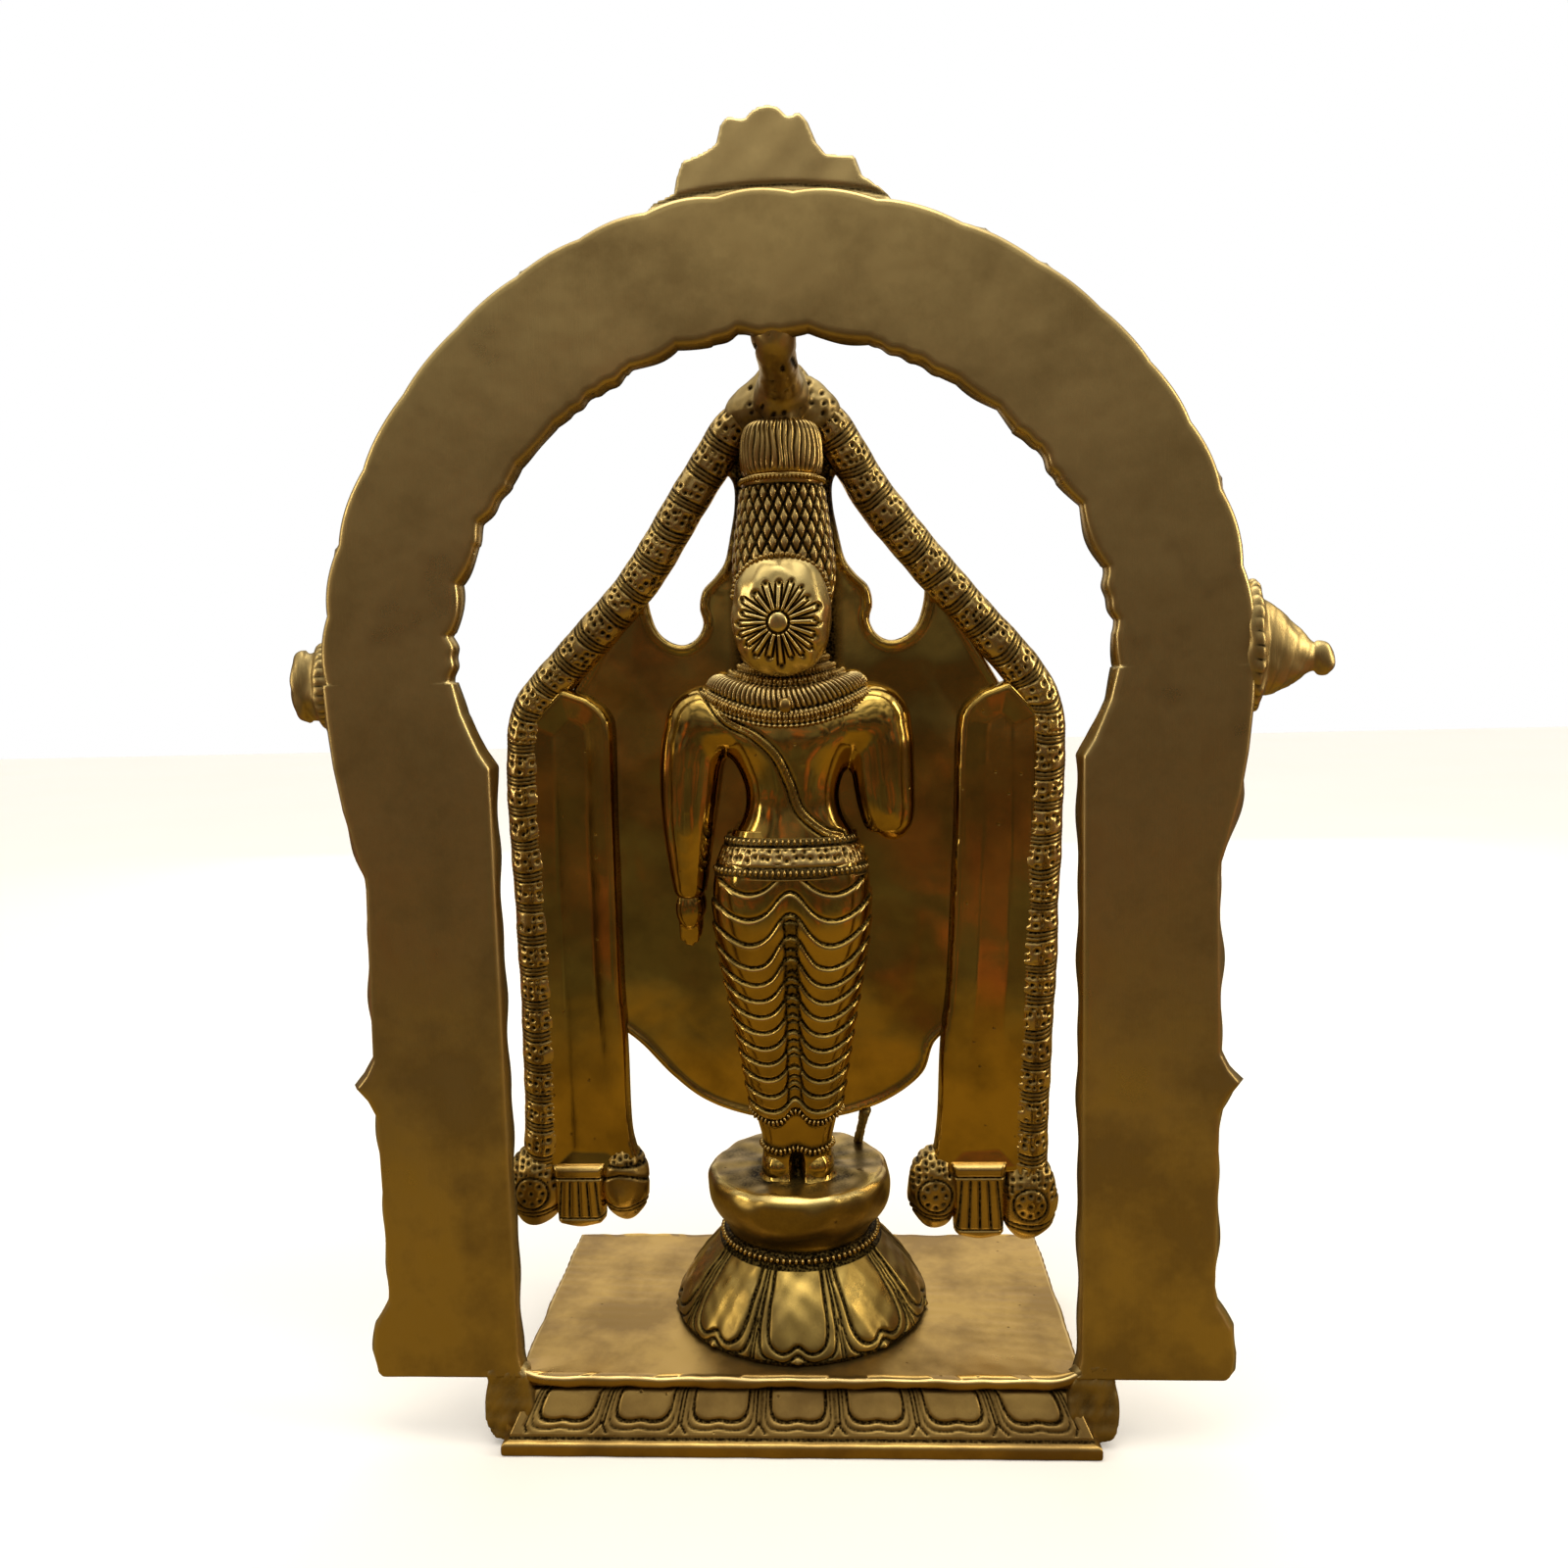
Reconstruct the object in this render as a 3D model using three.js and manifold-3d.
// A cast brass standing figure on a lotus seat, inside a free-standing arch.
// Millimetres, +Z up. The figure looks along -Y, so +X is its left hand and the flat back of the arch faces +Y.
// Every casting and every applied ornament is its own mesh; a brazed seam between two of them is a 0.3 mm gap.
import * as THREE from 'three';
import { ConvexGeometry } from 'three/addons/geometries/ConvexGeometry.js';
import { mergeVertices } from 'three/addons/utils/BufferGeometryUtils.js';
import Module from 'manifold-3d';

const wasm = await Module();
wasm.setup();

// ---- driving dimensions ----
const SEAM = 0.3;

const PLATE_HALF_X = 100.7; // the plinth's top plate
const PLATE_HALF_Y = 54.1;
const PLATE_TOP = 26.2;
const PLATE_UNDER = 22;
const FLANGE_HALF_X = 105.6; // the plinth's foot flange
const FLANGE_HALF_Y = 60;
const FLANGE_TOP = 5;
const HOLLOW_TOP = 22; // ceiling of the hollow under the plinth

const ARCH_BACK_Y = 54.4;
const ARCH_THICK = 6.5;
const ARCH_RELIEF = 4.5; // how far the ornament band stands forward of the arch's plate
const BOW_CENTRE_Z = 274.5;
const BOW_OUT_R = 156.5;
const BOW_IN_R = 111;
const BOW_TOP_IN_Z = 384.6; // lowest point of the bow's underside at the middle
const LEG_OUT = 146;
const LEG_IN = 99.7;
const LEG_FOOT_Z = 27;
const LUG_IN = 94.5; // the lugs that run down beside the plinth
const LUG_OUT = 113;

const SEAT_Y = -2.6; // axis of the lotus and the round seat
const SEAT_TOP = 81.5;
const SEAT_R = 35.7;
const ROPE_RING_Z = 55.6;
const ROPE_RING_R = 29.6;
const ROPE_WIRE_R = 2;

const FIGURE_Y = 8.4; // axis of the standing figure
const FIGURE_DEPTH = 0.6; // its thickness as a share of its width
const CROWN_FOOT_Z = 314.5;
const CROWN_TOP_Z = 345;
const TUFT_TOP_Z = 366;

const GARLAND_Y = 2.4; // middle plane of the garlands
const GARLAND_R = 7.7;
const GARLAND_DEPTH = 0.85; // their thickness as a share of their width
const GARLAND_END_Z = 84.5;
const BAND_BACK_Y = 7.4;
const BAND_THICK = 9;
const WEB_BACK_Y = 1.4;
const WEB_THICK = 3;

const ROUND = 24; // segments round a turned piece
const FINE = 32;

const BRASS = { color: 0x8a6a2c, metalness: 1, roughness: 0.32 };
const DULL_BRASS = { color: 0x75623a, metalness: 1, roughness: 0.5 };
const DARK_BRASS = { color: 0x5e4a24, metalness: 1, roughness: 0.45 };

const statue = new THREE.Group();

// ---- helpers ----

/** A closed three.js geometry as a manifold-3d solid. */
function solidOf(geometry) {
  const bare = geometry.clone();
  bare.deleteAttribute('normal');
  bare.deleteAttribute('uv');
  const merged = mergeVertices(bare, 1e-4);
  return new wasm.Manifold(new wasm.Mesh({
    numProp: 3,
    vertProperties: merged.attributes.position.array,
    triVerts: new Uint32Array(merged.index.array),
  }));
}

/** A manifold-3d solid as a three.js geometry. */
function geometryOf(solid) {
  const mesh = solid.getMesh();
  const geometry = new THREE.BufferGeometry();
  geometry.setAttribute('position', new THREE.BufferAttribute(mesh.vertProperties, 3));
  geometry.setIndex(new THREE.BufferAttribute(mesh.triVerts, 1));
  geometry.computeVertexNormals();
  return geometry;
}

/** Adds one named piece to the statue. */
function piece(name, shape, look) {
  const geometry = shape.isBufferGeometry ? shape : geometryOf(shape);
  const mesh = new THREE.Mesh(geometry, new THREE.MeshStandardMaterial(look));
  mesh.name = name;
  statue.add(mesh);
  return mesh;
}

/** An outline drawn in x and z, made thick from y = back towards -Y. */
function slab(outline, back, thick) {
  const geometry = new THREE.ExtrudeGeometry(outline, { depth: thick, bevelEnabled: false, curveSegments: 6 });
  return solidOf(geometry.rotateX(Math.PI / 2).translate(0, back, 0));
}

/** A closed outline through [x, z] corners. */
function outlineOf(corners) {
  return new THREE.Shape(corners.map(([x, z]) => new THREE.Vector2(x, z)));
}

/** A turned piece about a vertical axis at (x, y), from [radius, z] points, its depth scaled. */
function turned(profile, x, y, depth = 1, segments = ROUND) {
  const geometry = new THREE.LatheGeometry(profile.map(([r, z]) => new THREE.Vector2(r, z)), segments);
  return solidOf(geometry.rotateX(Math.PI / 2).scale(1, depth, 1).translate(x, y, 0));
}

/** A profile of [radius, z] points moved outwards, with its ends on the axis moved along it. */
function widened(profile, grow) {
  return profile.map(([r, z], i) => {
    const end = r === 0 ? (i === 0 ? -grow : grow) : 0;
    return [r === 0 ? 0 : r + grow, z + end];
  });
}

/** An ellipsoid of radii [x, y, z]. */
function ball(centre, radii, grow = 0) {
  const [rx, ry, rz] = radii;
  const geometry = new THREE.SphereGeometry(1, 16, 10).rotateX(Math.PI / 2);
  return solidOf(geometry.scale(rx + grow, ry + grow, rz + grow).translate(...centre));
}

/** A box from one corner to the opposite one. */
function block(low, high) {
  const size = high.map((value, i) => value - low[i]);
  return solidOf(new THREE.BoxGeometry(...size).translate(...low.map((value, i) => value + size[i] / 2)));
}

/** A block with four sloping sides, between a rectangle at z0 and one at z1. */
function tapered(z0, [x0, y0], z1, [x1, y1]) {
  const corners = [];
  for (const sx of [-1, 1]) {
    for (const sy of [-1, 1]) {
      corners.push(new THREE.Vector3(sx * x0, sy * y0, z0), new THREE.Vector3(sx * x1, sy * y1, z1));
    }
  }
  return solidOf(new ConvexGeometry(corners));
}

/** A round bar along a smooth curve through [x, y, z] points; depth squeezes it about y = middle. */
function bar(points, radius, steps, { depth = 1, middle = 0, sides = 12 } = {}) {
  const path = new THREE.CatmullRomCurve3(points.map((p) => new THREE.Vector3(...p)), false, 'catmullrom', 0.4);
  const section = new THREE.Shape();
  section.absarc(0, 0, radius, 0, 2 * Math.PI);
  const geometry = new THREE.ExtrudeGeometry(section, { steps, extrudePath: path, curveSegments: sides / 2 });
  return solidOf(geometry.translate(0, -middle, 0).scale(1, depth, 1).translate(0, middle, 0));
}

/** Joins solids into one. */
function joined(first, ...others) {
  return others.reduce((sum, other) => sum.add(other), first);
}

// ---- plinth: a hollow rectangular casting, open underneath ----

function plinth() {
  const foot = tapered(0, [FLANGE_HALF_X, FLANGE_HALF_Y], FLANGE_TOP, [FLANGE_HALF_X - 1, FLANGE_HALF_Y - 1]);
  const petals = tapered(FLANGE_TOP - 1, [102.5, 56.8], 19, [96, 49.8]);
  const neck = tapered(18, [94.5, 48], PLATE_UNDER + 1, [94.5, 48]);
  const plate = tapered(PLATE_UNDER, [PLATE_HALF_X, PLATE_HALF_Y], PLATE_TOP, [PLATE_HALF_X, PLATE_HALF_Y]);
  const hollow = tapered(-1, [92.5, 45.5], HOLLOW_TOP, [88, 42]);
  let solid = joined(foot, petals, neck, plate).subtract(hollow);
  for (const side of [-1, 1]) {
    // the corner that the arch's lug sits in
    const near = side * (LUG_IN - SEAM);
    const far = side * (FLANGE_HALF_X + 5);
    const low = [Math.min(near, far), ARCH_BACK_Y - ARCH_THICK - SEAM, FLANGE_TOP + 0.01];
    const high = [Math.max(near, far), FLANGE_HALF_Y + 1, PLATE_TOP + 1];
    solid = solid.subtract(block(low, high));
  }
  return solid;
}

// ---- lotus pedestal, rope ring and round seat ----

function lotusPedestal() {
  const foot = PLATE_TOP + SEAM;
  return turned([
    [0, 49], [25, 49], [31, 41], [38, 34], [43.5, foot],
    [48.3, foot], [48.4, 28.5], [44.6, 32], [40.4, 36.5], [36, 42], [32, 47.5], [29.6, 53.2], [0, 53.2],
  ], 0, SEAT_Y, 1, FINE);
}

function ropeRing() {
  const ring = new THREE.TorusGeometry(ROPE_RING_R, ROPE_WIRE_R, 6, FINE);
  return solidOf(ring.translate(0, SEAT_Y, ROPE_RING_Z));
}

function roundSeat() {
  const foot = ROPE_RING_Z - ROPE_WIRE_R;
  const inside = ROPE_RING_R - ROPE_WIRE_R - SEAM;
  return turned([
    [0, foot], [inside, foot], [inside, 58.2], [28.8, 58.8], [29.2, 64],
    [32.2, 67.2], [35.2, 72], [SEAT_R, 77], [33.8, SEAT_TOP], [0, SEAT_TOP],
  ], 0, SEAT_Y, 1, FINE);
}

// ---- the standing figure ----

const BODY_PROFILE = [
  [0, SEAT_TOP + SEAM], [13.6, SEAT_TOP + SEAM], [14.6, 92], [17.6, 105], [20.6, 129], [25, 156], [28.6, 180],
  [28.4, 196], [25.6, 206], [21.8, 214], [20.8, 224], [23.6, 239], [26.6, 250], [26, 258], [20, 266],
  [11.5, 271], [10.5, 278], [0, 280],
];
const HEAD = { centre: [0, FIGURE_Y - 2, 294], radii: [15.5, 14, 20.5] };
const SHOULDERS = { centre: [0, FIGURE_Y - 0.5, 255], radii: [42, 10.5, 9.5] };

/** The body with its feet, shoulders and head, one casting, grown outwards by the given amount. */
function figureBody(grow = 0) {
  const body = turned(widened(BODY_PROFILE, grow), 0, FIGURE_Y, FIGURE_DEPTH);
  const feet = [-1, 1].map((side) => {
    const foot = ball([side * 7.6, FIGURE_Y - 6, SEAT_TOP + SEAM], [6.2, 14.5, 8], grow);
    return foot.intersect(block([-40, -40, SEAT_TOP + SEAM - grow], [40, 40, 110]));
  });
  const rounds = [HEAD, SHOULDERS].map(({ centre, radii }) => ball(centre, radii, grow));
  return joined(body, ...feet, ...rounds);
}

function waistband(grow = 0) {
  return turned([
    [22, 200 - grow], [30.6 + grow, 200 - grow], [29.4 + grow, 206],
    [26.2 + grow, 212.5 + grow], [22, 212.5 + grow], [22, 200 - grow],
  ], 0, FIGURE_Y, FIGURE_DEPTH);
}

function collar(grow = 0) {
  return turned([
    [13, 263], [24.5 + grow, 261.5 - grow], [26 + grow, 264],
    [17.5 + grow, 272 + grow], [13, 273 + grow], [13, 263],
  ], 0, FIGURE_Y, 0.68);
}

/** The figure's left arm hangs straight down. */
function leftArm(grow = 0) {
  const profile = [[0, 181], [4.6, 184], [6.6, 205], [8.6, 230], [9.2, 248], [0, 253]];
  return turned(widened(profile, grow), 36, FIGURE_Y - 1, 0.85, 16);
}

/** The figure's right arm is bent at the elbow, and the forearm reaches forwards with an open palm. */
function rightArm(grow = 0) {
  const profile = [[0, 208], [7.4, 213], [8.6, 230], [9.2, 248], [0, 253]];
  const upper = turned(widened(profile, grow), -35.6, FIGURE_Y - 1, 0.85, 16);
  const forearm = bar([[-35.6, FIGURE_Y - 3, 215], [-34, -8, 212], [-31.5, -20, 206]], 5.4 + grow, 8);
  const palm = ball([-31, -22, 200], [7, 3.4, 11], grow);
  return joined(upper, forearm, palm);
}

function hairDisc(grow = 0) {
  // a domed rosette on the back of the head, turned about the Y axis
  const profile = [
    [0, 0], [15.4 + grow, 0], [16.6 + grow, 3], [14 + grow, 8], [7, 10 + grow], [0, 10.4 + grow],
  ];
  const dome = new THREE.LatheGeometry(profile.map(([r, y]) => new THREE.Vector2(r, y)), ROUND);
  return solidOf(dome.scale(1, 1, 1.1).translate(0, FIGURE_Y + 9.6, 294.6));
}

function crown(grow = 0) {
  return turned(widened([[0, CROWN_FOOT_Z], [17.6, CROWN_FOOT_Z], [18.2, 318], [16, 331], [14.6, 343],
    [14, CROWN_TOP_Z], [0, CROWN_TOP_Z]], grow), 0, FIGURE_Y, 0.95);
}

function crownTuft(grow = 0) {
  return turned(widened([[0, CROWN_TOP_Z + SEAM], [13.4, CROWN_TOP_Z + SEAM], [14.2, 351], [13, 361],
    [9.5, TUFT_TOP_Z], [0, TUFT_TOP_Z]], grow), 0, FIGURE_Y, 0.9);
}

function anklet(side) {
  const ring = new THREE.TorusGeometry(1, 0.16, 6, 16).scale(7.4, 9.6, 7);
  const whole = solidOf(ring.translate(side * 7.6, FIGURE_Y, 91.5));
  const half = side > 0 ? block([SEAM, -20, 80], [30, 30, 100]) : block([-30, -20, 80], [-SEAM, 30, 100]);
  return whole.subtract(figureBody(SEAM)).intersect(half);
}

// ---- garlands, flat bands and the web plates between them and the figure ----

const LEFT_ROPE = [
  [-3, 373.5], [5.5, 372], [17, 366], [35.5, 339.5], [54.2, 311.1], [74.5, 288.7], [94.2, 267.8],
  [99.8, 252], [100.2, 196], [99.4, 140], [99.9, GARLAND_END_Z],
];
const RIGHT_ROPE = [
  [3, 376], [-5, 374.5], [-16.7, 366], [-34.8, 337.5], [-53.5, 314], [-72.2, 292.3], [-90, 271.5],
  [-95.6, 252], [-94, 196], [-91.4, 140], [-88.8, GARLAND_END_Z],
];

/** One garland, cut off upright where it meets the other. */
function garland(side, points, grow = 0) {
  const path = points.map(([x, z]) => [x, GARLAND_Y, z]);
  const whole = bar(path, GARLAND_R + grow, 30, { depth: GARLAND_DEPTH, middle: GARLAND_Y, sides: 10 });
  const inner = SEAM / 2 - grow;
  const half = side > 0 ? block([inner, -20, 50], [140, 30, 400]) : block([-140, -20, 50], [-inner, 30, 400]);
  return whole.intersect(half);
}

/** A flat hanging band with a rounded top, from its inner and outer edges at the top and the bottom. */
function band(side, topIn, topOut, footIn, footOut, grow = 0) {
  const outline = new THREE.Shape();
  const top = 262 + grow;
  const corner = 12;
  outline.moveTo(side * (footIn - grow), GARLAND_END_Z - grow);
  outline.lineTo(side * (topIn - grow), top - corner);
  outline.quadraticCurveTo(side * (topIn - grow), top, side * (topIn + corner), top);
  outline.lineTo(side * (topOut - corner), top);
  outline.quadraticCurveTo(side * (topOut + grow), top, side * (topOut + grow), top - corner);
  outline.lineTo(side * (footOut + grow), GARLAND_END_Z - grow);
  return slab(outline, BAND_BACK_Y + grow, BAND_THICK + 2 * grow);
}

const LEFT_BAND = [1, 66, 96, 65, 96];
const RIGHT_BAND = [-1, 62, 90, 53, 84];

/** One web plate: its outer edge runs under the band and the garland, which are then cut away from it. */
function web(side, edge, neighbours) {
  const outline = new THREE.Shape();
  outline.moveTo(side * 0.6, 99);
  outline.quadraticCurveTo(side * 40, 104, side * (edge.low - 4), 133);
  outline.lineTo(side * (edge.low + 8), 140);
  outline.lineTo(side * (edge.high + 24), 262);
  outline.lineTo(side * 60, 300);
  outline.lineTo(side * 50.5, 300);
  outline.quadraticCurveTo(side * 48, 286, side * 40, 286);
  outline.quadraticCurveTo(side * 31.5, 287, side * 31.4, 298);
  outline.quadraticCurveTo(side * 31, 309, side * 22.5, 314);
  outline.lineTo(side * 19, 337);
  outline.lineTo(side * 21, 347);
  outline.lineTo(side * 30, 342);
  outline.lineTo(side * 24, 358);
  outline.lineTo(side * 0.6, 358);
  const plate = slab(outline, WEB_BACK_Y, WEB_THICK);
  const cut = neighbours.reduce((rest, other) => rest.subtract(other), plate);
  // the largest of what is left is the plate; slivers beyond its neighbours go
  return cut.decompose().sort((a, b) => b.volume() - a.volume())[0];
}

// ---- tassels ----

const TASSEL_TOP = GARLAND_END_Z - SEAM;

/** A ribbed fringe block under a flat band. */
function fringe(x0, x1, foot) {
  const outline = new THREE.Shape();
  const taper = 1.5;
  outline.moveTo(x0 + taper, foot + 2);
  outline.quadraticCurveTo((x0 + x1) / 2, foot - 1.5, x1 - taper, foot + 2);
  outline.lineTo(x1, TASSEL_TOP);
  outline.lineTo(x0, TASSEL_TOP);
  return slab(outline, BAND_BACK_Y + 1, BAND_THICK + 2);
}

/** A bulb hanging from the end of a garland or a band, cut flat where it meets it. */
function bulb(x, z, rx, rz) {
  const below = block([x - 20, -20, z - 30], [x + 20, 30, TASSEL_TOP]);
  return ball([x, GARLAND_Y, z], [rx, 8.5, rz]).intersect(below);
}

// ---- arch ----

/** Points on a scalloped arc about the bow's centre, from one angle to another in degrees above +X. */
function scallops(radius, dip, count, from, to) {
  const perLobe = 4;
  const total = count * perLobe;
  return Array.from({ length: total + 1 }, (_, i) => {
    const share = i / total;
    const angle = THREE.MathUtils.degToRad(from + (to - from) * share);
    const r = radius + dip * (Math.abs(Math.sin(share * count * Math.PI)) - 1);
    return [r * Math.cos(angle), BOW_CENTRE_Z + r * Math.sin(angle)];
  });
}

/** Half of the arch's outer edge, from the lug up to the bow's spring. */
function outerSide() {
  return [
    [LUG_IN, FLANGE_TOP + SEAM], [FLANGE_HALF_X + SEAM, FLANGE_TOP + SEAM], [FLANGE_HALF_X + SEAM, 1.8],
    [110, 2.4], [112.6, 6.5], [LUG_OUT, 12], [111.5, LEG_FOOT_Z - 1.2],
    [148, LEG_FOOT_Z - 0.5], [151.4, 29.5], [152.4, 34], [151.6, 45], [148.6, 50.5], [146.2, 54], [LEG_OUT, 60],
    [LEG_OUT + 0.6, 122], [149.8, 128.5], [153.2, 132.8], [149.8, 137.5], [LEG_OUT + 0.8, 143],
    [LEG_OUT, 206], [148, 215], [152.3, 231], [154.4, 246], [156, 262],
  ];
}

/** Half of the arch's inner edge, from the bow's spring down to the plinth. */
function innerSide() {
  return [
    [110.6, 270], [109, 264], [106, 257], [103.4, 250.5], [LEG_IN, 246.5],
    [LEG_IN, 35], [97.4, PLATE_TOP + 2.4], [LUG_IN, PLATE_TOP + SEAM],
  ];
}

const mirrored = (points) => points.map(([x, z]) => [-x, z]);

/** The arch's plate with its lugs, and the raised ornament band on its front. */
function archFrame() {
  const outer = outerSide();
  const inner = innerSide();
  const crestAngle = 74; // the crest covers the plain top of the bow
  const outline = outlineOf([
    ...outer,
    ...scallops(BOW_OUT_R, 1.4, 8, 0, crestAngle),
    ...scallops(BOW_OUT_R, 0, 1, crestAngle + 2, 178 - crestAngle),
    ...scallops(BOW_OUT_R, 1.4, 8, 180 - crestAngle, 180),
    ...mirrored(outer).reverse(),
    ...mirrored(inner).reverse(),
    ...scallops(BOW_IN_R + 1, 1.8, 13, 180, 0).slice(1, -1),
    ...inner,
  ]);
  const plate = slab(outline, ARCH_BACK_Y, ARCH_THICK);
  const reliefBack = ARCH_BACK_Y - ARCH_THICK + 0.2;
  const relief = outlineOf([
    [140, 60], [140, 206], [148, 262], ...scallops(149, 0, 3, 2, 178), [-148, 262], [-140, 206], [-140, 60],
    [-106, 60], [-106, 244], [-117, 266], ...scallops(118, 0, 3, 178, 2), [117, 266], [106, 244], [106, 60],
  ]);
  return plate.add(slab(relief, reliefBack, ARCH_RELIEF + 0.2));
}

/** The crest on top of the bow, a separate casting shaped to its curve. */
function crest() {
  const top = [
    [38, 428.5], [31.2, 431], [30.4, 436], [28.4, 441], [21, 443.6], [17, 446.2], [15.6, 451.5],
    [12.4, 454], [6.8, 454], [3.6, 456.3], [-0.5, 457], [-4, 455.8], [-7.2, 453.4], [-10.4, 454.4],
    [-13.2, 451.5], [-15.8, 445], [-19, 441.4], [-28, 440.4], [-30.6, 433.8], [-38, 429],
  ];
  const seat = scallops(BOW_OUT_R + SEAM, 0, 3, 105.8, 74);
  return slab(outlineOf([...top, ...seat]), ARCH_BACK_Y - 1, ARCH_THICK + 2);
}

// [radius, reach] points of the two finials
const CONCH = [[0, 0], [21, 0], [21.6, 3], [17, 7], [9, 15], [5, 19], [4.6, 26], [0, 27.2]];
const DISC = [[0, 0], [14, 0], [13.6, 5], [11, 6], [10.6, 11.6], [8, 13], [0, 13.4]];

/** A finial standing out sideways from the arch, turned about the X axis and flattened. */
function finial(side, profile, height, flat) {
  const geometry = new THREE.LatheGeometry(profile.map(([r, reach]) => new THREE.Vector2(r, reach)), 20);
  geometry.rotateZ(-side * Math.PI / 2).scale(1, flat, 1);
  return solidOf(geometry.translate(side * (BOW_OUT_R + 0.7), ARCH_BACK_Y - 7.5, height));
}

/** The brace that ties the meeting of the two garlands to the underside of the bow. */
function topBrace() {
  const front = GARLAND_Y + GARLAND_R * GARLAND_DEPTH + SEAM;
  const foot = TUFT_TOP_Z + SEAM;
  const corners = [];
  for (const side of [-1, 1]) {
    corners.push(
      new THREE.Vector3(side * 7.5, ARCH_BACK_Y - ARCH_THICK, BOW_TOP_IN_Z - SEAM),
      new THREE.Vector3(side * 7.5, ARCH_BACK_Y - 1.5, BOW_TOP_IN_Z - SEAM),
      new THREE.Vector3(side * 6.5, front, foot + 1),
      new THREE.Vector3(side * 5.5, front, foot + 13),
      new THREE.Vector3(side * 4, front + 6, foot),
    );
  }
  return solidOf(new ConvexGeometry(corners));
}

/** A garland looped over the front of the figure. */
function loop(halfWidth, top, low, front, radius) {
  const side = front + 2.5;
  const widest = THREE.MathUtils.lerp(top, low, 0.38);
  const half = [
    [halfWidth * 0.82, side, top], [halfWidth, side, widest], [halfWidth * 0.72, front + 1, low + 18],
  ];
  const otherHalf = half.map(([x, y, z]) => [-x, y, z]).reverse();
  return bar([...half, [0, front - 2, low], ...otherHalf], radius, 24, { sides: 8 });
}

// ---- assembly ----

piece('base_plinth', plinth(), BRASS);
piece('lotus_pedestal', lotusPedestal(), BRASS);
piece('rope_ring', ropeRing(), DARK_BRASS);
piece('round_seat', roundSeat(), BRASS);

const brace = topBrace();
const leftRopeSpace = garland(1, LEFT_ROPE, SEAM);
const rightRopeSpace = garland(-1, RIGHT_ROPE, SEAM);

piece('figure_body', figureBody(), BRASS);
piece('waistband', waistband().subtract(figureBody(SEAM * 2)), BRASS);
piece('collar_necklace', collar().subtract(figureBody(SEAM * 2)), BRASS);
const bodySpace = joined(figureBody(SEAM * 2), waistband(SEAM), collar(SEAM));
piece('left_arm', leftArm().subtract(bodySpace), BRASS);
piece('right_arm', rightArm().subtract(bodySpace), BRASS);
piece('hair_disc', hairDisc().subtract(bodySpace).subtract(crown(SEAM)), BRASS);
piece('crown', crown().subtract(figureBody(SEAM * 2)), BRASS);
piece('crown_tuft', crownTuft(), BRASS);
piece('left_anklet', anklet(1), BRASS);
piece('right_anklet', anklet(-1), BRASS);

const trunkSpace = joined(crownTuft(SEAM), crown(SEAM));
piece('left_garland', garland(1, LEFT_ROPE).subtract(trunkSpace), DARK_BRASS);
piece('right_garland', garland(-1, RIGHT_ROPE).subtract(trunkSpace), DARK_BRASS);
piece('left_band', band(...LEFT_BAND).subtract(leftRopeSpace), DULL_BRASS);
piece('right_band', band(...RIGHT_BAND).subtract(rightRopeSpace), DULL_BRASS);

const figureSpace = joined(bodySpace, leftArm(SEAM * 2), rightArm(SEAM * 2), hairDisc(SEAM), crown(SEAM * 2),
  crownTuft(SEAM * 2));
const leftSpaces = [leftRopeSpace, band(...LEFT_BAND, SEAM), figureSpace];
const rightSpaces = [rightRopeSpace, band(...RIGHT_BAND, SEAM), figureSpace];
piece('left_web', web(1, { low: 65, high: 66 }, leftSpaces), BRASS);
piece('right_web', web(-1, { low: 58, high: 62 }, rightSpaces), BRASS);

piece('left_outer_tassel', bulb(103.8, 71.5, 11.8, 13.6), DARK_BRASS);
piece('left_fringe', fringe(77.2, 91.4, 57.5), DARK_BRASS);
piece('left_inner_tassel', bulb(68, 73.5, 8.8, 11.8), DARK_BRASS);
piece('right_outer_tassel', bulb(-91.8, 65.5, 11.4, 14), DARK_BRASS);
piece('right_fringe', fringe(-80, -62.6, 54), DARK_BRASS);
piece('right_inner_tassel', bulb(-53, 69.5, 9.2, 12.4), DARK_BRASS);

piece('outer_front_loop', loop(52, 258, 112, -9.2, 4.6), DARK_BRASS);
piece('inner_front_loop', loop(25, 254, 168, -13, 3.6), DARK_BRASS);
piece('support_post', new THREE.CylinderGeometry(2.2, 2.2, 20.6, 16).rotateX(Math.PI / 2)
  .translate(-26.5, -5, SEAT_TOP + SEAM + 10.3), DARK_BRASS);

piece('arch_frame', archFrame(), DULL_BRASS);
piece('arch_crest', crest(), DULL_BRASS);
piece('right_finial', finial(-1, CONCH, 279, 0.4), DULL_BRASS);
piece('left_finial', finial(1, DISC, 274, 0.5), DULL_BRASS);
piece('top_brace', brace, DULL_BRASS);

// the origin is under the middle of the statue's bounding box, on the surface it stands on
const box = new THREE.Box3().setFromObject(statue);
const middle = box.getCenter(new THREE.Vector3());
statue.position.set(-middle.x, -middle.y, -box.min.z);

export default statue;
